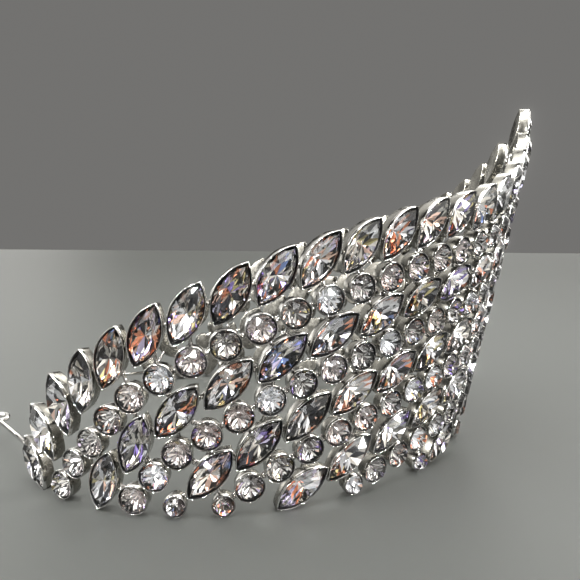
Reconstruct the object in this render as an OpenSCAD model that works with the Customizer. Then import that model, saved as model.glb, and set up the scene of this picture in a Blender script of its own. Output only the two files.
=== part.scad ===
// A tall diadem: a crest row of pointed navette stones climbs from both ends to a peak,
// and rows of round and navette stones follow it below, each stone in its own soldered cup.
// It stands on its lower edge, with the centre of the head opening at the origin.

/* [Stones] */
// Length of a navette stone, tip to tip
navette_length = 15; // [14:0.25:16]
// Width of a navette stone
navette_width = 7; // [6.5:0.25:7.5]
// Diameter of a full round stone
round_diameter = 6.75; // [6:0.25:7.25]
// Diameter of a small round stone, which fills the lower edge
small_diameter = 5; // [4.5:0.25:5.5]
// Height of a stone's crown above its girdle
crown_height = 1.8; // [1.2:0.1:2.4]
// Depth of a stone's pavilion below its girdle
pavilion_depth = 2; // [1.5:0.1:2.5]
// Width of the flat table as a share of the stone's width
table_share = 0.56; // [0.45:0.01:0.7]

/* [Cups] */
// Clearance between a stone's girdle and its cup
stone_clearance = 0.1; // [0.1:0.02:0.2]
// Thickness of a cup's rim
rim_wall = 0.25; // [0.2:0.05:0.4]
// Height of the rim above the stone's girdle
rim_height = 0.5; // [0.3:0.1:0.8]
// Gap between the stone's pavilion and the bottom of its pocket
pocket_clearance = 0.2; // [0.15:0.05:0.4]
// Thickness of the closed back behind the pocket
back_thickness = 0.8; // [0.6:0.1:1.2]
// How much narrower the back is than the rim, on each side
back_taper = 0.4; // [0.2:0.05:0.6]

/* [Solder links] */
// Width and height of a link between two cups
link_width = 0.9; // [0.7:0.1:1.1]
// Depth by which a link runs into each cup
link_grip = 0.9; // [0.7:0.1:1.1]
// Widest gap between two cups that a link still closes
link_reach = 1.65; // [1.65:0.05:1.9]
// The same beside the middle line, where the peak and its stones stand further apart
middle_link_reach = 2.9; // [2.8:0.1:3.4]

/* [Head opening] */
// Radius of the front of the band, at the stones' girdles
front_radius = 55.5; // [50:0.5:64]
// Length of the front curve from the middle to one side
front_arc = 37.3; // [32:0.1:41]
// Radius of the flatter side of the band
side_radius = 107.5; // [96:0.5:118]
// Length of one side curve
side_arc = 55.5; // [50:0.5:64]
// Radius of the band's back ends
back_radius = 58; // [53:0.5:64]
// Length of half the band, from the front to one end
half_length = 164; // [157:1:168]
// Distance from the origin to the front of the band
front_reach = 55.5; // [50:0.5:59]
// Outward lean of the wall at the front, in degrees
front_lean = 12.5; // [9:0.5:14]
// Outward lean of the wall at the ends, in degrees
end_lean = 4; // [3:0.5:8]

/* [Rows] */
// Height of the peak stone's centre, measured up the leaning wall
peak_height = 102; // [97:1:107]
// Least free distance between crest stones, beyond a cup's width
crest_spacing = 2.9; // [2.7:0.1:3.2]
// Least free distance between lower navettes, beyond a cup's width
leaf_spacing = 5.2; // [5:0.1:5.6]
// Least gap between round cups in a row
round_gap = 0.7; // [0.6:0.05:0.9]
// Gap between the crest stones' lower tips and the first round row
crest_gap = 1; // [0.8:0.1:1.4]
// Gap between the lower rows, beyond the cups' widths
row_gap = 0.6; // [0.5:0.05:1]
// Turn of a crest stone from the direction of its row, in degrees
crest_turn = 39; // [37:1:43]
// The same turn for the crest stones near the ends
end_crest_turn = 76; // [70:1:80]
// Turn of a lower navette from the direction of its row, in degrees
leaf_turn = 20; // [17:1:23]

/* [End loops] */
// Thickness of the end wires
wire_diameter = 1.3; // [1.1:0.1:1.4]
// Height above the base at which the end wires are soldered to the last cups
wire_height = 5; // [4:0.5:8]
// Rise of the end wires towards their loops, in degrees
wire_rise = 3; // [0:1:12]
// Length of an end wire beyond the last cup
wire_reach = 34; // [24:1:40]
// Thickness of an end loop
loop_thickness = 1.5; // [1.5:0.1:1.8]
// Free diameter inside an end loop
loop_bore = 5; // [4:0.5:7]

/* [Hidden] */
LEFT = -1;
RIGHT = 1;
UP = [0, 0, 1];

// Knots of the crest row: share of half_length from the front, share of peak_height
KNOT_AT = 0;
KNOT_VALUE = 1;
CREST = [
    [0, 1],
    [0.07, 0.882],
    [0.14, 0.799],
    [0.22, 0.735],
    [0.32, 0.692],
    [0.45, 0.628],
    [0.6, 0.538],
    [0.75, 0.406],
    [0.86, 0.27],
    [0.93, 0.16],
    [1, 0],
    [1.05, -0.12]
];

// Kinds of stone
NAVETTE = 0;
ROUND = 1;
SMALL = 2;
NONE = 3;

// Rows below the crest, from the top: kind of stone, pitches from the middle line to the first stone,
// stone on the middle line, number of small stones at the lower end, degrees by which the last stone
// turns further up than its row's others
ROW_KIND = 0;
ROW_FIRST = 1;
ROW_MIDDLE = 2;
ROW_SMALLS = 3;
ROW_END_TURN = 4;
ROWS = [
    [ROUND, 1.25, ROUND, 0, 0],
    [NAVETTE, 1.45, ROUND, 0, 5],
    [ROUND, 0.63, NONE, 0, 0],
    [NAVETTE, 0.63, NONE, 1, -5],
    [ROUND, 0.74, NONE, 1, 0],
    [NAVETTE, 0.92, ROUND, 0, -14],
    [ROUND, 0.56, NONE, 1, 0],
    [NAVETTE, 1, ROUND, 1, 0],
    [ROUND, 1, ROUND, 0, 0]
];

// Outline of a navette: two arcs that meet in its tips
arc_radius = (pow(navette_length / 2, 2) + pow(navette_width / 2, 2)) / navette_width;
arc_offset = arc_radius - navette_width / 2;
cup_margin = stone_clearance + rim_wall;
navette_cup_half = sqrt(pow(arc_radius + cup_margin, 2) - pow(arc_offset, 2));
navette_cup_width = navette_width + 2 * cup_margin;
round_cup = round_diameter + 2 * cup_margin;
small_cup = small_diameter + 2 * cup_margin;

// Pitches and drops, from the cups' own sizes
crest_pitch = navette_cup_width + crest_spacing;
leaf_pitch = navette_cup_width + leaf_spacing;
round_pitch = round_cup + round_gap;
small_pitch = small_cup + round_gap;
row_step = (navette_cup_width + round_cup) / 2 + row_gap;

// Heights inside a cup, from the girdle
pavilion_share = 0.72;
pocket_edge = 0.3;
pocket_floor = pavilion_depth + pocket_clearance;
pocket_ease = 0.45;
cup_depth = pocket_floor + back_thickness;
taper_start = 0.5;
link_depth = pocket_floor - link_width / 3;
cutter = 1;

// Numbers of sides
round_sides = 8;
navette_side_points = 4;
arc_steps = 96;

// Plan of the band
function degrees(radians) = radians * 180 / PI;
front_turn = degrees(front_arc / front_radius);
side_turn = degrees(side_arc / side_radius);
function heading(along) =
    degrees(min(along, front_arc) / front_radius
        + max(min(along - front_arc, side_arc), 0) / side_radius
        + max(along - front_arc - side_arc, 0) / back_radius);
function arc_step(radius, from, to) = radius * [sin(to) - sin(from), cos(from) - cos(to)];
function plan(along) =
    let (turn = heading(along))
    arc_step(front_radius, 0, min(turn, front_turn))
    + arc_step(side_radius, front_turn, max(min(turn, front_turn + side_turn), front_turn))
    + arc_step(back_radius, front_turn + side_turn, max(turn, front_turn + side_turn))
    - [0, front_reach];

// The leaning wall through the stones' girdles: along the base from the front, then up the wall
function lean(along) = front_lean + (end_lean - front_lean) * along / half_length;
function outward(side, along) =
    let (turn = heading(along), tilt = lean(along))
    [side * sin(turn) * cos(tilt), -cos(turn) * cos(tilt), -sin(tilt)];
function upward(side, along) =
    let (turn = heading(along), tilt = lean(along))
    [side * sin(turn) * sin(tilt), -cos(turn) * sin(tilt), cos(tilt)];
function frontward(side, along) =
    let (turn = heading(along))
    [-side * cos(turn), -sin(turn), 0];
function wall_point(side, along, height) =
    let (base = plan(along))
    [side * base[0], base[1], 0] + height * upward(side, along);

// Smooth curve through a table's knots
function knot_below(table, at, knot = 0) =
    knot >= len(table) - 2 || at < table[knot + 1][KNOT_AT] ? knot : knot_below(table, at, knot + 1);
function knot_slope(table, knot) =
    let (before = table[max(knot - 1, 0)], after = table[min(knot + 1, len(table) - 1)])
    (after[KNOT_VALUE] - before[KNOT_VALUE]) / (after[KNOT_AT] - before[KNOT_AT]);
function curve_at(table, at) =
    let (
        knot = knot_below(table, at),
        from = table[knot],
        to = table[knot + 1],
        span = to[KNOT_AT] - from[KNOT_AT],
        share = (at - from[KNOT_AT]) / span,
        rise = span * knot_slope(table, knot),
        rise_after = span * knot_slope(table, knot + 1)
    )
    from[KNOT_VALUE] * (1 - share) * (1 - share) * (1 + 2 * share)
        + to[KNOT_VALUE] * share * share * (3 - 2 * share)
        + rise * share * (1 - share) * (1 - share)
        - rise_after * share * share * (1 - share);
function crest_height(along) = peak_height * curve_at(CREST, along / half_length);
function crest_fall(along) = crest_height(along - 0.5) - crest_height(along + 0.5);

// The last crest stones turn up from their row
END_TURN_FROM = 0.81;
END_TURN_SPAN = 0.09;
function end_share(along) = max(0, min(1, (along / half_length - END_TURN_FROM) / END_TURN_SPAN));
function crest_turn_at(along) = crest_turn + (end_crest_turn - crest_turn) * end_share(along);

// Each lower row is parallel to the crest, at a distance that leaves room for the stones above it
function row_drop(row, along) =
    row < 0 ? 0
    : navette_cup_half * sin(crest_turn_at(along)) + round_cup / 2 + crest_gap + row * row_step;
function row_place(row, along) =
    let (fall = crest_fall(along), scale = 1 / sqrt(1 + fall * fall), drop = row_drop(row, along))
    [along - drop * fall * scale, crest_height(along) - drop * scale];

// A row's path: run along the wall from the middle line, distance along the base, height up the wall
PATH_RUN = 0;
PATH_ALONG = 1;
PATH_HEIGHT = 2;
path_step = 1;
function row_path(row) =
    let (
        places = [
            for (along = [0:path_step:half_length * 1.04])
                let (place = row_place(row, along))
                if (place[0] > -2 * path_step) place
        ],
        points = [for (place = places) wall_point(LEFT, place[0], place[1])],
        runs = [
            for (i = 0, run = 0; i < len(points);
                run = run + (i + 1 < len(points) ? norm(points[i + 1] - points[i]) : 0), i = i + 1)
                run
        ],
        middle = lookup(0, [for (i = [0:len(places) - 1]) [places[i][0], runs[i]]])
    )
    [for (i = [0:len(places) - 1]) [runs[i] - middle, places[i][0], places[i][1]]];
function path_value(path, run, column) =
    lookup(run, [for (entry = path) [entry[PATH_RUN], entry[column]]]);
function path_slope(path, run) =
    asin(path_value(path, run - 0.5, PATH_HEIGHT) - path_value(path, run + 0.5, PATH_HEIGHT));

// How far a cup reaches from its centre: up the wall, and in any direction
function navette_reach_up(angle) =
    (arc_radius + cup_margin) * abs(cos(angle)) > arc_offset
        ? arc_radius + cup_margin - arc_offset * abs(cos(angle))
        : navette_cup_half * abs(sin(angle));
function cup_reach_up(kind, angle) =
    kind == NAVETTE ? navette_reach_up(angle)
    : kind == ROUND ? round_cup / 2
    : small_cup / 2;

// A setting: kind, side, along, height, angle of its long axis above the frontward direction
KIND = 0;
SIDE = 1;
ALONG = 2;
HEIGHT = 3;
ANGLE = 4;
function setting(path, run, kind, turn, side) =
    [
        kind,
        side,
        path_value(path, run, PATH_ALONG),
        path_value(path, run, PATH_HEIGHT),
        path_slope(path, run) + turn
    ];
function lowest(item) =
    (item[HEIGHT] - cup_reach_up(item[KIND], item[ANGLE])) * cos(lean(item[ALONG]))
        - rim_height * sin(lean(item[ALONG]));

// Run at which a cup of this kind stands on the base
function seat_run(path, kind, turn, low, high) =
    high - low < 0.005 ? low
    : let (middle = (low + high) / 2)
        lowest(setting(path, middle, kind, turn, LEFT)) >= 0
            ? seat_run(path, kind, turn, middle, high)
            : seat_run(path, kind, turn, low, middle);
function path_end(path) = path[len(path) - 1][PATH_RUN];

// Stations along a row, evenly spaced up to the last cup that stands on the base
function stations(start, end, pitch) =
    let (steps = floor((end - start) / pitch))
    [for (step = [0:1:steps]) steps > 0 ? start + (end - start) * step / steps : end];

// The peak stone stands free: the first crest stones beside it keep this many pitches from it.
// The last two crest stones share out what is left of the row above the base.
PEAK_SPACE = 1.46;
crest_path = row_path(-1);
crest_end = seat_run(crest_path, NAVETTE, end_crest_turn, 0, path_end(crest_path));
crest_start = PEAK_SPACE * crest_pitch;
crest_steps = floor((crest_end - crest_start) / crest_pitch);
crest_last_even = crest_start + (crest_steps - 2) * crest_pitch;
crest_runs = [
    for (step = [0:1:crest_steps - 2]) crest_start + step * crest_pitch,
    (crest_last_even + crest_end) / 2,
    crest_end
];
crest_count = len(crest_runs);
function crest_setting(place, side) =
    let (run = place == 0 ? 0 : crest_runs[place - 1], along = path_value(crest_path, run, PATH_ALONG))
    place == 0
        ? [NAVETTE, side, 0, peak_height, 90]
        : setting(crest_path, run, NAVETTE, crest_turn_at(along), side);

function row_settings(row) =
    let (
        path = row_path(row),
        kind = ROWS[row][ROW_KIND],
        smalls = ROWS[row][ROW_SMALLS],
        turn = kind == NAVETTE ? leaf_turn : 0,
        end_turn = turn + ROWS[row][ROW_END_TURN],
        half = kind == NAVETTE ? navette_cup_half : round_cup / 2,
        pitch = kind == NAVETTE ? leaf_pitch : round_pitch,
        seat = seat_run(path, kind, end_turn, 0, path_end(path)),
        small_seat = seat_run(path, SMALL, 0, 0, path_end(path)),
        first_small = small_seat - (smalls - 1) * small_pitch,
        end = smalls > 0 ? min(seat, first_small - half - small_cup / 2 - round_gap) : seat,
        runs = stations(ROWS[row][ROW_FIRST] * pitch, end, pitch),
        last_run = runs[len(runs) - 1],
        middle_kind = ROWS[row][ROW_MIDDLE],
        middle = [middle_kind, LEFT, 0, path_value(path, 0, PATH_HEIGHT), 0]
    )
    concat(
        middle_kind == NONE ? [] : [middle],
        [
            for (side = [LEFT, RIGHT], run = runs)
                setting(path, run, kind, run < last_run ? turn : end_turn, side)
        ],
        [
            for (side = [LEFT, RIGHT], step = [0:1:smalls - 1])
                setting(path, first_small + step * small_pitch, SMALL, 0, side)
        ]
    );
lower_settings = [for (row = [0:len(ROWS) - 1], item = row_settings(row)) item];
crest_settings = [
    crest_setting(0, LEFT),
    for (side = [LEFT, RIGHT], place = [1:crest_count]) crest_setting(place, side)
];
all_settings = concat(crest_settings, lower_settings);

// Frame of a setting: Z out of the wall, Y along the stone
function centre(item) = wall_point(item[SIDE], item[ALONG], item[HEIGHT]);
function stone_outward(item) = outward(item[SIDE], item[ALONG]);
function long_axis(item) =
    cos(item[ANGLE]) * frontward(item[SIDE], item[ALONG]) + sin(item[ANGLE]) * upward(item[SIDE], item[ALONG]);
module in_frame(origin, y_axis, z_axis) {
    x_axis = cross(y_axis, z_axis);
    multmatrix([
        [x_axis[0], y_axis[0], z_axis[0], origin[0]],
        [x_axis[1], y_axis[1], z_axis[1], origin[1]],
        [x_axis[2], y_axis[2], z_axis[2], origin[2]],
        [0, 0, 0, 1]
    ])
        children();
}
module in_setting(item) {
    in_frame(centre(item), long_axis(item), stone_outward(item)) children();
}

// Cups
function stone_diameter(kind) = kind == SMALL ? small_diameter : round_diameter;
function cup_profile(radius) = [
    [0, -cup_depth],
    [radius + cup_margin - back_taper, -cup_depth],
    [radius + cup_margin, -taper_start],
    [radius + cup_margin, rim_height],
    [0, rim_height]
];
function pocket_profile(radius, half_width) = [
    [0, -pocket_floor],
    [radius - pavilion_share * half_width + pocket_ease, -pocket_floor],
    [radius + stone_clearance, -pocket_edge],
    [radius + stone_clearance, rim_height + cutter],
    [0, rim_height + cutter]
];
module turned(profile) {
    rotate_extrude($fn = arc_steps) polygon(profile);
}
module navette_form(profile) {
    intersection() {
        translate([arc_offset, 0, 0]) turned(profile);
        translate([-arc_offset, 0, 0]) turned(profile);
    }
}
module navette_cup() {
    difference() {
        navette_form(cup_profile(arc_radius));
        navette_form(pocket_profile(arc_radius, navette_width / 2));
    }
}
module round_cup(kind) {
    radius = stone_diameter(kind) / 2;
    difference() {
        turned(cup_profile(radius));
        turned(pocket_profile(radius, radius));
    }
}
module cup(item) {
    in_setting(item) {
        if (item[KIND] == NAVETTE) navette_cup();
        else round_cup(item[KIND]);
    }
}

// Links: square bars that join neighbouring cups behind their stones
function link_centre(item) = centre(item) - link_depth * stone_outward(item);
function cup_reach(item, direction) =
    item[KIND] != NAVETTE
        ? stone_diameter(item[KIND]) / 2 + cup_margin
        : let (
            short = abs(cross(long_axis(item), stone_outward(item)) * direction),
            radius = arc_radius + cup_margin
        )
        sqrt(pow(arc_offset * short, 2) + pow(radius, 2) - pow(arc_offset, 2)) - arc_offset * short;
function link_gap(from, to) =
    let (span = link_centre(to) - link_centre(from), direction = span / norm(span))
    norm(span) - cup_reach(from, direction) - cup_reach(to, direction);
function reach_between(from, to) = min(from[ALONG], to[ALONG]) > 0 ? link_reach : middle_link_reach;
function linked(from, to) =
    norm(centre(from) - centre(to)) < 2 * navette_cup_half && link_gap(from, to) < reach_between(from, to);
function neighbours(items) = [
    for (i = [0:len(items) - 2], j = [i + 1:len(items) - 1])
        if (linked(items[i], items[j])) [items[i], items[j]]
];
module link(from, to) {
    span = link_centre(to) - link_centre(from);
    direction = span / norm(span);
    start = link_centre(from) + (cup_reach(from, direction) - link_grip) * direction;
    sideways = cross(stone_outward(from) + stone_outward(to), direction);
    length = link_gap(from, to) + 2 * link_grip;
    in_frame(start, sideways / norm(sideways), direction)
        translate([-link_width / 2, -link_width / 2, 0])
            cube([link_width, link_width, length]);
}

// End wires: each lies half sunk in the back of the last crest cup and ends inside its loop's wire
wire_seat = 4.5;
wire_steps = 24;
module end_loop() {
    radius = (loop_bore + loop_thickness) / 2;
    translate([0, radius, 0])
        rotate_extrude($fn = arc_steps)
            translate([radius, 0])
                circle(d = loop_thickness, $fn = wire_steps);
}
module end_wire() {
    last = crest_setting(crest_count, LEFT);
    seat_point = wall_point(LEFT, last[ALONG], wire_height / cos(lean(last[ALONG])))
        - cup_depth * stone_outward(last);
    length = wire_seat + wire_reach;
    in_frame(seat_point, -frontward(LEFT, last[ALONG]), UP)
        rotate([wire_rise, 0, 0]) {
            rotate([-90, 0, 0]) cylinder(d = wire_diameter, h = length, $fn = wire_steps);
            translate([0, length, 0]) end_loop();
        }
}

// Stones: rings of points joined by facets
function facet_ring(from, next, count) =
    [for (i = [0:count - 1]) [from + i, next + i, next + (i + 1) % count, from + (i + 1) % count]];
function round_ring(radius, z, phase) =
    [
        for (i = [0:round_sides - 1])
            let (angle = (i + phase) * 360 / round_sides)
            [radius * cos(angle), radius * sin(angle), z]
    ];
module round_stone(diameter) {
    radius = diameter / 2;
    n = round_sides;
    points = concat(
        round_ring(radius * (1 - pavilion_share), -pavilion_depth, 0.5),
        round_ring(radius, 0, 0.5),
        round_ring(radius * table_share, crown_height, 0)
    );
    stars = [for (i = [0:n - 1]) [n + i, 2 * n + i, 2 * n + (i + 1) % n]];
    kites = [for (i = [0:n - 1]) [n + i, 2 * n + (i + 1) % n, n + (i + 1) % n]];
    culet = [[for (i = [0:n - 1]) i]];
    table = [[for (i = [n - 1:-1:0]) 2 * n + i]];
    polyhedron(points, concat(culet, facet_ring(0, n, n), stars, kites, table));
}
function navette_ring(scale, z) =
    let (
        half_sweep = acos(arc_offset / arc_radius),
        n = navette_side_points + 1,
        side = [
            for (i = [0:n - 1])
                let (angle = half_sweep * (2 * i / n - 1))
                [arc_radius * cos(angle) - arc_offset, arc_radius * sin(angle)]
        ]
    )
    concat(
        [for (point = side) [scale * point[0], scale * point[1], z]],
        [for (point = side) [-scale * point[0], -scale * point[1], z]]
    );
module navette_stone() {
    n = 2 * (navette_side_points + 1);
    points = concat(
        navette_ring(1 - pavilion_share, -pavilion_depth),
        navette_ring(1, 0),
        navette_ring(table_share, crown_height)
    );
    culet = [[for (i = [0:n - 1]) i]];
    table = [[for (i = [n - 1:-1:0]) 2 * n + i]];
    polyhedron(points, concat(culet, facet_ring(0, n, n), facet_ring(n, 2 * n, n), table));
}
module stone(item) {
    in_setting(item) {
        if (item[KIND] == NAVETTE) navette_stone();
        else round_stone(stone_diameter(item[KIND]));
    }
}
module stones_of(kind) {
    for (item = lower_settings) if (item[KIND] == kind) stone(item);
}

module frame() {
    color("silver") {
        for (item = all_settings) cup(item);
        for (pair = neighbours(all_settings)) link(pair[0], pair[1]);
        for (side = [LEFT, RIGHT], place = [2:crest_count])
            if (!linked(crest_setting(place - 1, side), crest_setting(place, side)))
                link(crest_setting(place - 1, side), crest_setting(place, side));
        end_wire();
        mirror([1, 0, 0]) end_wire();
    }
}
module peak_stone() {
    color("gainsboro") stone(crest_setting(0, LEFT));
}
module crest_stone(place, side) {
    color("gainsboro") stone(crest_setting(place, side));
}
module leaf_stones() {
    color("thistle") stones_of(NAVETTE);
}
module round_stones() {
    color("lavender") stones_of(ROUND);
}
module small_stones() {
    color("mistyrose") stones_of(SMALL);
}

frame();
peak_stone();
leaf_stones();
round_stones();
small_stones();
for (place = [1:crest_count]) {
    crest_stone(place, LEFT);
    crest_stone(place, RIGHT);
}
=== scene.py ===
# The looks of a tall diadem: cut crystal stones in soldered silver cups.
import math
import random

import bmesh
import bpy
from mathutils import Matrix, Vector


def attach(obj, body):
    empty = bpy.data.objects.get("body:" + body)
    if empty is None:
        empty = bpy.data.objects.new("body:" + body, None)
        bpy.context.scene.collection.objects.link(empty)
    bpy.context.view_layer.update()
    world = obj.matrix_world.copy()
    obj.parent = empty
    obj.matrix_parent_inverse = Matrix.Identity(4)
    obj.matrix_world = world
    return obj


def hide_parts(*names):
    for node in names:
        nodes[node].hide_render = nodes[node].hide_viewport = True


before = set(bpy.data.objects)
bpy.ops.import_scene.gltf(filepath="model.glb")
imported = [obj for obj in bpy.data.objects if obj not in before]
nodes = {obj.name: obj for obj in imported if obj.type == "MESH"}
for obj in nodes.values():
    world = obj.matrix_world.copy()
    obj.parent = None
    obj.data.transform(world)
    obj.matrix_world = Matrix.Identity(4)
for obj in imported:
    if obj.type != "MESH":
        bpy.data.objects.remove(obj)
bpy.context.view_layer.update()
MM = 0.001
BODY = "root"
UP = Vector((0, 0, 1))
draw = random.Random(11)

# Camera, at the photograph's place
CAMERA_PLACE = Vector((-199.47, -9.06, 64.06)) * MM
CAMERA_YAW = math.radians(2.376)
CAMERA_PITCH = math.radians(-4.945)
CAMERA_ROLL = math.radians(0.349)
IMAGE_WIDTH = 580
FOCAL_PIXELS = 581.5
SENSOR_WIDTH = 36.0
NEAREST_SEEN = 0.005


def add_camera():
    flat = math.cos(CAMERA_PITCH)
    forward = Vector((math.cos(CAMERA_YAW) * flat, math.sin(CAMERA_YAW) * flat, math.sin(CAMERA_PITCH)))
    right = forward.cross(UP).normalized()
    up = right.cross(forward)
    tilted_right = right * math.cos(CAMERA_ROLL) + up * math.sin(CAMERA_ROLL)
    tilted_up = tilted_right.cross(forward)
    data = bpy.data.cameras.new("camera")
    data.sensor_width = SENSOR_WIDTH
    data.lens = SENSOR_WIDTH * FOCAL_PIXELS / IMAGE_WIDTH
    data.clip_start = NEAREST_SEEN
    camera = bpy.data.objects.new("camera", data)
    bpy.context.scene.collection.objects.link(camera)
    turn = Matrix((tilted_right, tilted_up, -forward)).transposed()
    camera.matrix_world = Matrix.Translation(CAMERA_PLACE) @ turn.to_4x4()
    bpy.context.scene.camera = camera


# Seats: where each stone sits
WELD_DISTANCE = 0.001 * MM
GIRDLE_MARGIN = 0.2


class Seat:
    """Where a stone sits: its girdle's centre, its long and outward axes, and the arcs of its outline."""

    def __init__(self, centre, outward, tip, flank):
        self.centre = centre
        self.along = (tip - centre).normalized()
        self.outward = outward
        self.across = self.along.cross(outward)
        half_length = (tip - centre).length
        width = abs((flank - centre).dot(self.across))
        self.arc_offset = (half_length ** 2 - (flank - centre).length_squared) / (2 * width)
        self.arc_radius = math.hypot(half_length, self.arc_offset)
        self.half_width = self.arc_radius - self.arc_offset
        self.pointed = self.arc_offset > self.half_width

    def place(self, across, along, out):
        return self.centre + self.across * across + self.along * along + self.outward * out

    def edge(self, turn, margin=0.0):
        """A point of the girdle's outline, margin outside it: a circle, or two arcs that meet in the tips."""
        if not self.pointed:
            radius = self.half_width + margin
            return Vector((radius * math.cos(2 * math.pi * turn), radius * math.sin(2 * math.pi * turn)))
        radius = self.arc_radius + margin
        shifted = (turn + 0.25) % 1
        side = 1 if shifted < 0.5 else -1
        share = shifted * 4 - 1 if side > 0 else 3 - shifted * 4
        angle = math.acos(self.arc_offset / radius) * share
        return Vector((side * (radius * math.cos(angle) - self.arc_offset), radius * math.sin(angle)))

    def reach(self, direction, margin):
        """How far the outline reaches from the centre in a direction of the wall."""
        if not self.pointed:
            return self.half_width + margin
        sideways = self.arc_offset * abs(self.across.dot(direction))
        chord = (self.arc_radius + margin) ** 2 - self.arc_offset ** 2
        return math.sqrt(sideways ** 2 + chord) - sideways


def loose_parts(node):
    """The points of each loose stone, always in the same order, so that every run gives the same shapes."""
    mesh = bmesh.new()
    mesh.from_mesh(node.data)
    bmesh.ops.remove_doubles(mesh, verts=mesh.verts, dist=WELD_DISTANCE)
    left = dict.fromkeys(mesh.verts)
    parts = []
    while left:
        first = next(iter(left))
        del left[first]
        part = [first]
        waiting = [first]
        while waiting:
            for edge in waiting.pop().link_edges:
                for vert in edge.verts:
                    if vert in left:
                        del left[vert]
                        part.append(vert)
                        waiting.append(vert)
        parts.append(part)
    return mesh, parts


def seat_of(part):
    """The table is the largest flat face. The girdle is the middle one of the three rings of points."""
    areas = {}
    for face in dict.fromkeys(face for vert in part for face in vert.link_faces):
        key = tuple(round(value, 2) for value in face.normal)
        area, total = areas.get(key, (0, Vector()))
        areas[key] = (area + face.calc_area(), total + face.normal * face.calc_area())
    outward = max(areas.values(), key=lambda entry: entry[0])[1].normalized()
    depths = [vert.co.dot(outward) for vert in part]
    low, high = min(depths), max(depths)
    margin = GIRDLE_MARGIN * (high - low)
    girdle = [v.co for v, depth in zip(part, depths) if low + margin < depth < high - margin]
    centre = sum(girdle, Vector()) / len(girdle)
    tip = max(girdle, key=lambda point: (round((point - centre).length, 6), point.z))
    across = (tip - centre).cross(outward)
    flank = max(girdle, key=lambda point: (point - centre).dot(across))
    return Seat(centre, outward, tip, flank)


def seats_of(name):
    mesh, parts = loose_parts(nodes[name])
    seats = [seat_of(part) for part in parts]
    mesh.free()
    return sorted(seats, key=lambda seat: tuple(round(value, 5) for value in seat.centre))


# Meshes of many small forms
class Batch:
    """Faces of many stones or cups, made into one mesh."""

    def __init__(self):
        self.points = []
        self.faces = []
        self.kinds = []
        self.tints = []

    def add(self, points, faces, kinds, tints=()):
        first = len(self.points)
        self.points += points
        self.faces += [[first + corner for corner in corners] for corners in faces]
        self.kinds += kinds
        self.tints += tints

    def add_rings(self, rings, kinds):
        """Rings of points joined by quads and closed at both ends. Each ring runs anticlockwise as the next
        one faces it."""
        steps = len(rings[0])
        faces = []
        face_kinds = []
        for ring, kind in zip(range(len(rings) - 1), kinds):
            for step in range(steps):
                after = (step + 1) % steps
                below = ring * steps
                above = below + steps
                faces.append([below + step, below + after, above + after, above + step])
                face_kinds.append(kind)
        faces.append(list(range(steps))[::-1])
        faces.append(list(range((len(rings) - 1) * steps, len(rings) * steps)))
        face_kinds += [kinds[0], kinds[-1]]
        self.add([point for ring in rings for point in ring], faces, face_kinds)

    def build(self, name, materials, stands_for):
        mesh = bpy.data.meshes.new(name)
        mesh.from_pydata([tuple(point) for point in self.points], [], self.faces)
        for material in materials:
            mesh.materials.append(material)
        mesh.polygons.foreach_set("material_index", self.kinds)
        mesh.polygons.foreach_set("use_smooth", [not self.tints] * len(self.faces))
        # Each stone facet's tint is its painted reflection colour, plain white for the glass
        if self.tints:
            colours = mesh.color_attributes.new("tint", "FLOAT_COLOR", "CORNER")
            values = []
            for face, tint in zip(self.faces, self.tints):
                values += [*tint, 1.0] * len(face)
            colours.data.foreach_set("color", values)
        mesh.update()
        piece = bpy.data.objects.new(name, mesh)
        bpy.context.scene.collection.objects.link(piece)
        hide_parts(stands_for)
        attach(piece, BODY)


def add_tube(batch, path, radii, sides, kind=0):
    """A round rod along a path, as thick as its radii say."""
    rings = []
    axis = (path[1] - path[0]).orthogonal().normalized()
    for index, (place, radius) in enumerate(zip(path, radii)):
        direction = (path[min(index + 1, len(path) - 1)] - path[max(index - 1, 0)]).normalized()
        axis = (axis - direction * axis.dot(direction)).normalized()
        other = direction.cross(axis)
        ring = []
        for side in range(sides):
            angle = 2 * math.pi * side / sides
            ring.append(place + axis * (radius * math.cos(angle)) + other * (radius * math.sin(angle)))
        rings.append(ring)
    batch.add_rings(rings, [kind] * (len(rings) - 1))


# The cut: shares are of the stone's half width, from its middle line to its girdle
CROWN_HEIGHT = 1.8 * MM
PAVILION_DEPTH = 2.05 * MM
GIRDLE_SHARE = 0.965
TABLE_SHARE = 0.6
LOWER_SHARE = 0.4
LOWER_DEPTH_SHARE = 0.68
MAINS = 8
NAVETTE_SHAKE = 0.14 * MM
ROUND_SHAKE = 0.05 * MM
GLASS = 0
FOIL = 1
CLEAR = (1.0, 1.0, 1.0)

# Painted reflections: colours painted on the mirror foil behind each facet, standing in for white flares,
# dark reflections and coloured fire, with how often each comes
PAINTED_REFLECTIONS = [
    ((0.97, 0.97, 1.0), 40),
    ((0.86, 0.82, 0.76), 24),
    ((0.52, 0.50, 0.47), 8),
    ((0.05, 0.05, 0.06), 13),
    ((0.93, 0.36, 0.20), 7),
    ((0.96, 0.68, 0.56), 6),
    ((0.48, 0.36, 0.92), 2),
    ((0.78, 0.70, 0.96), 5),
    ((0.35, 0.48, 0.92), 1),
    ((0.95, 0.82, 0.42), 3),
]
# Painted light and shade on the two halves of a round stone's mains, which show as a star, with how often
# each pair comes
PAINTED_STAR_SHADES = [
    (((0.95, 0.93, 0.90), (0.16, 0.14, 0.14)), 5),
    (((0.92, 0.84, 0.80), (0.45, 0.40, 0.40)), 3),
    (((0.95, 0.96, 1.0), (0.95, 0.96, 1.0)), 2),
]


def pick(choices):
    return draw.choices([choice for choice, _ in choices], [weight for _, weight in choices])[0]


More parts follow.
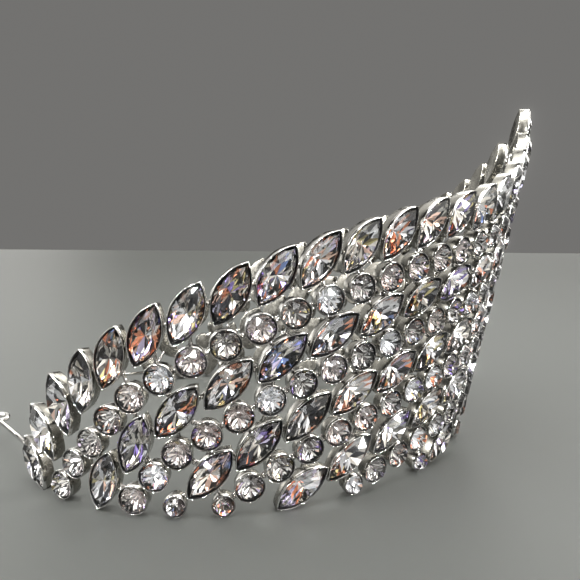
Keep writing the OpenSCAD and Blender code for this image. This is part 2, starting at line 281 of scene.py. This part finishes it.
def cut_stone(batch, seat):
    """A table, mains and upper facets above the girdle, mains and lower facets below it."""
    count = 2 * MAINS
    shake = NAVETTE_SHAKE if seat.pointed else ROUND_SHAKE
    star = pick(PAINTED_STAR_SHADES)

    def point(turn, share, out, shaken=0.0):
        flat = seat.edge(turn) * share
        wander = [draw.uniform(-shaken, shaken) for _ in range(3)]
        return seat.place(flat.x + wander[0], flat.y + wander[1], out + wander[2])

    girdle = [point(step / count, GIRDLE_SHARE, 0) for step in range(count)]
    table = [point(step / MAINS, TABLE_SHARE, CROWN_HEIGHT) for step in range(MAINS)]
    lowers = [
        point((step + 0.5) / MAINS, LOWER_SHARE, -PAVILION_DEPTH * LOWER_DEPTH_SHARE, shake)
        for step in range(MAINS)
    ]
    culet = [point(0, 0, -PAVILION_DEPTH, shake)]
    table_at, lower_at, culet_at = count, count + MAINS, count + 2 * MAINS
    faces = [[table_at + step for step in range(MAINS)]]
    kinds = [GLASS]
    tints = [CLEAR]
    for step in range(MAINS):
        after = (step + 1) % MAINS
        before = (step - 1) % MAINS
        edge = 2 * step
        far_edge = (edge + 2) % count
        # Each foil facet gets a painted reflection colour
        left_tint = right_tint = pick(PAINTED_REFLECTIONS)
        # A round stone's mains take the painted light and dark halves of the star instead
        if not seat.pointed:
            left_tint, right_tint = star
        faces += [
            [table_at + step, edge, edge + 1],
            [table_at + step, edge + 1, table_at + after],
            [table_at + after, edge + 1, far_edge],
            [lower_at + before, culet_at, edge],
            [culet_at, lower_at + step, edge],
            [edge, lower_at + step, edge + 1],
            [edge + 1, lower_at + step, far_edge],
        ]
        kinds += [GLASS] * 3 + [FOIL] * 4
        tints += [CLEAR] * 3 + [left_tint, right_tint, pick(PAINTED_REFLECTIONS), pick(PAINTED_REFLECTIONS)]
    batch.add(girdle + table + lowers + culet, faces, kinds, tints)


# Cups and solder
CUP_MARGIN = 0.35 * MM
NAVETTE_STEPS = 36
ROUND_STEPS = 24
RIM = 0
SHADED_GAP = 1
# Back and lower wall faces take a darker copy of the silver, a painted dark reflection
BACK = 2
# Section of a cup, from the flat back up the wall, over the rim and down inside it, in millimetres:
# distance outside the girdle, height above it
CUP_SECTION = [
    (-0.30, -3.00), (-0.12, -2.97), (-0.02, -2.80), (0.30, -0.70), (0.35, -0.40), (0.36, 0.28),
    (0.31, 0.43), (0.23, 0.50), (0.15, 0.44), (0.10, 0.30), (0.05, -0.80), (-2.30, -2.25),
]
# The two rings of faces down inside the rim are painted near black: painted shade in the gap between stone
# and rim
CUP_KINDS = [BACK] * 4 + [RIM] * 5 + [SHADED_GAP] * 2

# Solder joints between neighbouring cups
LINK_REACH = 1.65 * MM
MIDDLE_LINK_REACH = 2.9 * MM
MIDDLE_WIDTH = 0.5 * MM
NEIGHBOUR_DISTANCE = 16 * MM
LINK_DEPTH = 1.9 * MM
LINK_GRIP = 0.6 * MM
LINK_SIDES = 8
# Share of the link's length, radius in millimetres
LINK_SHAPE = [(0, 0.8), (0.22, 0.52), (0.5, 0.42), (0.78, 0.52), (1, 0.8)]
BLOB_REACH = 1.1 * MM
BLOB_DEPTH = 0.7 * MM
BLOB_LEAST = 0.35 * MM
BLOB_MOST = 0.62 * MM
BLOB_RINGS = 5


def add_cup(batch, seat):
    steps = NAVETTE_STEPS if seat.pointed else ROUND_STEPS
    rings = []
    for margin, height in CUP_SECTION:
        ring = []
        for step in range(steps):
            flat = seat.edge(step / steps, margin * MM)
            ring.append(seat.place(flat.x, flat.y, height * MM))
        rings.append(ring)
    batch.add_rings(rings, CUP_KINDS)


def link_gap(first, second):
    start = first.place(0, 0, -LINK_DEPTH)
    end = second.place(0, 0, -LINK_DEPTH)
    direction = (end - start).normalized()
    from_start = first.reach(direction, CUP_MARGIN)
    from_end = second.reach(direction, CUP_MARGIN)
    gap = (end - start).length - from_start - from_end
    return gap, start + direction * from_start, end - direction * from_end


def add_link(batch, first, second):
    gap, start, end = link_gap(first, second)
    direction = (end - start).normalized()
    start -= direction * LINK_GRIP
    end += direction * LINK_GRIP
    path = [start.lerp(end, share) for share, _ in LINK_SHAPE]
    add_tube(batch, path, [radius * MM for _, radius in LINK_SHAPE], LINK_SIDES)
    if gap < BLOB_REACH:
        outward = (first.outward + second.outward).normalized()
        middle = start.lerp(end, 0.5) + outward * (LINK_DEPTH - BLOB_DEPTH)
        add_blob(batch, middle, outward, draw.uniform(BLOB_LEAST, BLOB_MOST))


def add_blob(batch, middle, outward, radius):
    angles = [math.pi * (ring + 0.5) / BLOB_RINGS for ring in range(BLOB_RINGS)]
    path = [middle - outward * (radius * math.cos(angle)) for angle in angles]
    add_tube(batch, path, [radius * math.sin(angle) for angle in angles], LINK_SIDES)


def near_middle(first, second):
    return min(abs(first.centre.x), abs(second.centre.x)) < MIDDLE_WIDTH


def add_solder(batch, seats, chains):
    """Links between all neighbours, and along each chain of crest stones."""
    linked = set()
    for index, first in enumerate(seats):
        for second in seats[index + 1:]:
            if (first.centre - second.centre).length > NEIGHBOUR_DISTANCE:
                continue
            reach = MIDDLE_LINK_REACH if near_middle(first, second) else LINK_REACH
            if link_gap(first, second)[0] < reach:
                linked.add((first, second))
                linked.add((second, first))
                add_link(batch, first, second)
    for chain in chains:
        for first, second in zip(chain, chain[1:]):
            if (first, second) not in linked:
                add_link(batch, first, second)


# End wires: soldered to the back of the last crest cups, each with a closed loop
WIRE_RADIUS = 0.65 * MM
WIRE_HEIGHT = 5 * MM
WIRE_RISE = math.radians(3)
WIRE_LENGTH = 38.5 * MM
CUP_DEPTH = 3 * MM
LOOP_RADIUS = 3.25 * MM
LOOP_WIRE_RADIUS = 0.75 * MM
LOOP_STEPS = 48
# Steps by which a loop's rod runs on past its own start, to close it
LOOP_OVERLAP = 2
WIRE_SIDES = 16


def add_end_wire(batch, seat):
    backward = UP.cross(seat.outward).normalized()
    if backward.y < 0:
        backward = -backward
    upward = (UP - seat.outward * seat.outward.z).normalized()
    down_the_wall = upward * ((WIRE_HEIGHT - seat.centre.z) / upward.z)
    start = seat.centre + down_the_wall - seat.outward * CUP_DEPTH
    direction = backward * math.cos(WIRE_RISE) + UP * math.sin(WIRE_RISE)
    inward = Vector((-seat.outward.x, -seat.outward.y, 0)).normalized()
    end = start + direction * WIRE_LENGTH
    add_tube(batch, [start, end], [WIRE_RADIUS] * 2, WIRE_SIDES)
    loop = []
    for step in range(LOOP_STEPS + LOOP_OVERLAP):
        angle = 2 * math.pi * step / LOOP_STEPS
        ahead = direction * LOOP_RADIUS * (1 - math.cos(angle))
        aside = inward * LOOP_RADIUS * math.sin(angle)
        loop.append(end + ahead + aside)
    add_tube(batch, loop, [LOOP_WIRE_RADIUS] * len(loop), WIRE_SIDES)


# Materials
GLASS_INDEX = 1.6
FOIL_ROUGHNESS = 0.03
# Part of a noise's range that its colours and polish are spread over
NOISE_LOW = 0.3
NOISE_HIGH = 0.7
BUMP_STRENGTH = 0.3
FLOOR_HALF = 3.0
FLOOR_COLOUR = (0.13, 0.137, 0.128)
FLOOR_ROUGHNESS = 0.5
FLOOR_SPECULAR = 0.2


def new_material(name):
    material = bpy.data.materials.new(name)
    material.use_nodes = True
    tree = material.node_tree
    return material, tree, tree.nodes["Principled BSDF"]


def noise_of(tree, scale, detail):
    place = tree.nodes.new("ShaderNodeTexCoord")
    noise = tree.nodes.new("ShaderNodeTexNoise")
    noise.inputs["Scale"].default_value = scale
    noise.inputs["Detail"].default_value = detail
    tree.links.new(place.outputs["Object"], noise.inputs["Vector"])
    return noise.outputs["Fac"]


def spread(tree, value, low, high):
    span = tree.nodes.new("ShaderNodeMapRange")
    span.inputs["From Min"].default_value = NOISE_LOW
    span.inputs["From Max"].default_value = NOISE_HIGH
    span.inputs["To Min"].default_value = low
    span.inputs["To Max"].default_value = high
    tree.links.new(value, span.inputs["Value"])
    return span.outputs["Result"]


def crystal_glass():
    material, _, shader = new_material("crystal_glass")
    shader.inputs["Base Color"].default_value = (1, 1, 1, 1)
    shader.inputs["Roughness"].default_value = 0.0
    shader.inputs["IOR"].default_value = GLASS_INDEX
    shader.inputs["Transmission Weight"].default_value = 1.0
    return material


def foil_with_painted_reflections():
    material, tree, shader = new_material("foil_with_painted_reflections")
    # The foil's colour is each facet's painted reflection, read from its tint
    tint = tree.nodes.new("ShaderNodeVertexColor")
    tint.layer_name = "tint"
    tree.links.new(tint.outputs["Color"], shader.inputs["Base Color"])
    shader.inputs["Metallic"].default_value = 1.0
    shader.inputs["Roughness"].default_value = FOIL_ROUGHNESS
    return material


def plated_metal(name, bright, dull, roughness, grain, depth):
    """Metal whose colour and polish vary in small patches, with a fine uneven surface."""
    material, tree, shader = new_material(name)
    patches = noise_of(tree, grain, 4)
    mix = tree.nodes.new("ShaderNodeMix")
    mix.data_type = "RGBA"
    mix.inputs["A"].default_value = (*bright, 1)
    mix.inputs["B"].default_value = (*dull, 1)
    tree.links.new(spread(tree, patches, 0, 1), mix.inputs["Factor"])
    tree.links.new(mix.outputs["Result"], shader.inputs["Base Color"])
    tree.links.new(spread(tree, noise_of(tree, 2 * grain, 3), *roughness), shader.inputs["Roughness"])
    shader.inputs["Metallic"].default_value = 1.0
    bump = tree.nodes.new("ShaderNodeBump")
    bump.inputs["Strength"].default_value = BUMP_STRENGTH
    bump.inputs["Distance"].default_value = depth
    tree.links.new(noise_of(tree, 4 * grain, 2), bump.inputs["Height"])
    tree.links.new(bump.outputs["Normal"], shader.inputs["Normal"])
    return material


glass = crystal_glass()
foil = foil_with_painted_reflections()
silver = plated_metal("cup_silver", (0.82, 0.81, 0.79), (0.30, 0.29, 0.27), (0.03, 0.12), 300, 0.03 * MM)
# Painted shade: near-black metal inside the rim, where the gap between stone and rim lies in shadow
gap_painted_shade = plated_metal("cup_gap_painted_shade", (0.10, 0.10, 0.10), (0.04, 0.04, 0.04), (0.3, 0.5), 300, 0.02 * MM)
# Painted dark reflection: the back and lower wall are a darker copy of the cup silver, with a rougher finish
dull = plated_metal("cup_back_painted_dark_reflection", (0.27, 0.26, 0.23), (0.12, 0.115, 0.10), (0.16, 0.34), 300, 0.03 * MM)
solder = plated_metal("solder_silver", (0.62, 0.60, 0.57), (0.16, 0.15, 0.14), (0.08, 0.24), 400, 0.06 * MM)
wire = plated_metal("wire_silver", (0.85, 0.84, 0.82), (0.66, 0.65, 0.62), (0.06, 0.16), 200, 0.01 * MM)

# Stones, a piece for each stone node
seats = {name: seats_of(name) for name in sorted(nodes) if name != "frame"}
for name, node_seats in seats.items():
    batch = Batch()
    for seat in node_seats:
        cut_stone(batch, seat)
    batch.build("cut_" + name, [glass, foil], name)

# The soldered frame, in three pieces
all_seats = [seat for node_seats in seats.values() for seat in node_seats]
cups = Batch()
for seat in all_seats:
    add_cup(cups, seat)
cups.build("setting_cups", [silver, gap_painted_shade, dull], "frame")
chains = []
wires = Batch()
for side in ("left", "right"):
    count = sum(name.startswith(f"crest_{side}_") for name in seats)
    chains.append([seats[f"crest_{side}_{place}"][0] for place in range(1, count + 1)])
    add_end_wire(wires, chains[-1][-1])
wires.build("end_wires", [wire], "frame")
joints = Batch()
add_solder(joints, all_seats, chains)
joints.build("solder_joints", [solder], "frame")


# Floor, world and lights
def add_floor():
    mesh = bpy.data.meshes.new("floor")
    half = FLOOR_HALF
    corners = [(-half, -half, 0), (half, -half, 0), (half, half, 0), (-half, half, 0)]
    mesh.from_pydata(corners, [], [(0, 1, 2, 3)])
    floor = bpy.data.objects.new("floor", mesh)
    bpy.context.scene.collection.objects.link(floor)
    material, _, shader = new_material("floor_material")
    shader.inputs["Base Color"].default_value = (*FLOOR_COLOUR, 1)
    shader.inputs["Roughness"].default_value = FLOOR_ROUGHNESS
    shader.inputs["Specular IOR Level"].default_value = FLOOR_SPECULAR
    mesh.materials.append(material)


# What facets mirror: patches of a lit room, some of them lamps
ROOM_CELLS = 1.9
ROOM_LEVELS = [(0.0, 0.01), (0.25, 0.14), (0.38, 0.5), (0.55, 1.1), (0.75, 2.0), (0.90, 6.0)]
ROOM_HEIGHTS = [(0.0, 0.25), (0.45, 0.4), (0.55, 0.6), (0.75, 1.0), (1.0, 1.6)]
BACKDROP_LEVEL = 0.17
GLOW_FROM = 2.2
GLOW_STRENGTH = 0.3
GLOW_SIZE = 0.3


def ramp_of(tree, value, stops, interpolation):
    ramp = tree.nodes.new("ShaderNodeValToRGB")
    ramp.color_ramp.interpolation = interpolation
    elements = ramp.color_ramp.elements
    while len(elements) < len(stops):
        elements.new(0.5)
    for element, (at, level) in zip(elements, stops):
        element.position = at
        element.color = (level, level, level, 1)
    tree.links.new(value, ramp.inputs["Fac"])
    return ramp.outputs["Color"]


def add_world():
    world = bpy.data.worlds.new("studio")
    bpy.context.scene.world = world
    world.use_nodes = True
    tree = world.node_tree
    place = tree.nodes.new("ShaderNodeTexCoord")
    cells = tree.nodes.new("ShaderNodeTexVoronoi")
    cells.inputs["Scale"].default_value = ROOM_CELLS
    tree.links.new(place.outputs["Generated"], cells.inputs["Vector"])
    parts = tree.nodes.new("ShaderNodeSeparateColor")
    tree.links.new(cells.outputs["Color"], parts.inputs["Color"])
    levels = ramp_of(tree, parts.outputs["Red"], ROOM_LEVELS, "CONSTANT")
    split = tree.nodes.new("ShaderNodeSeparateXYZ")
    tree.links.new(place.outputs["Generated"], split.inputs[0])
    shift = tree.nodes.new("ShaderNodeMapRange")
    shift.inputs["From Min"].default_value = -1
    tree.links.new(split.outputs["Z"], shift.inputs["Value"])
    heights = ramp_of(tree, shift.outputs["Result"], ROOM_HEIGHTS, "LINEAR")
    room = tree.nodes.new("ShaderNodeMath")
    room.operation = "MULTIPLY"
    tree.links.new(levels, room.inputs[0])
    tree.links.new(heights, room.inputs[1])
    path = tree.nodes.new("ShaderNodeLightPath")
    seen = tree.nodes.new("ShaderNodeMix")
    tree.links.new(path.outputs["Is Camera Ray"], seen.inputs["Factor"])
    tree.links.new(room.outputs["Value"], seen.inputs["A"])
    seen.inputs["B"].default_value = BACKDROP_LEVEL
    background = tree.nodes["Background"]
    background.inputs["Color"].default_value = (1.0, 0.985, 0.95, 1)
    tree.links.new(seen.outputs["Result"], background.inputs["Strength"])


def add_glow():
    """A little bloom around the brightest flares, as a lens gives."""
    scene = bpy.context.scene
    scene.use_nodes = True
    tree = scene.node_tree
    tree.nodes.clear()
    layers = tree.nodes.new("CompositorNodeRLayers")
    glow = tree.nodes.new("CompositorNodeGlare")
    glow.glare_type = "BLOOM"
    glow.inputs["Threshold"].default_value = GLOW_FROM
    glow.inputs["Strength"].default_value = GLOW_STRENGTH
    glow.inputs["Size"].default_value = GLOW_SIZE
    out = tree.nodes.new("CompositorNodeComposite")
    tree.links.new(layers.outputs["Image"], glow.inputs["Image"])
    tree.links.new(glow.outputs["Image"], out.inputs["Image"])


def add_light(name, place, target, size, watts, diffuse=True):
    data = bpy.data.lights.new(name, "AREA")
    data.shape = "SQUARE"
    data.size = size
    data.energy = watts
    light = bpy.data.objects.new(name, data)
    bpy.context.scene.collection.objects.link(light)
    light.location = place
    light.rotation_euler = (Vector(target) - Vector(place)).to_track_quat("-Z", "Y").to_euler()
    light.visible_camera = False
    light.visible_diffuse = diffuse


# Small lamps that the facets and the metal mirror; azimuth and height in degrees
SPARKLES = 18
SPARKLE_REACH = 0.8
SPARKLE_AZIMUTHS = (90, 290)
SPARKLE_HEIGHTS = (5, 75)
SPARKLE_SIZE = 0.06
SPARKLE_WATTS = 3


def add_lights():
    middle = (0, 0, 0.05)
    add_light("overhead", (-0.15, 0.05, 0.8), middle, 0.6, 4)
    add_light("front_left", (-0.7, 0.5, 0.75), middle, 0.35, 1.5)
    add_light("front_right", (-0.6, -0.7, 0.7), middle, 0.35, 1.5)
    for spot in range(SPARKLES):
        azimuth = math.radians(draw.uniform(*SPARKLE_AZIMUTHS))
        height = math.radians(draw.uniform(*SPARKLE_HEIGHTS))
        place = (
            SPARKLE_REACH * math.cos(azimuth) * math.cos(height),
            SPARKLE_REACH * math.sin(azimuth) * math.cos(height),
            SPARKLE_REACH * math.sin(height),
        )
        add_light(f"sparkle_{spot}", place, middle, SPARKLE_SIZE, SPARKLE_WATTS, False)


add_floor()
add_world()
add_lights()
add_camera()
add_glow()
bpy.context.scene.view_settings.view_transform = "Standard"
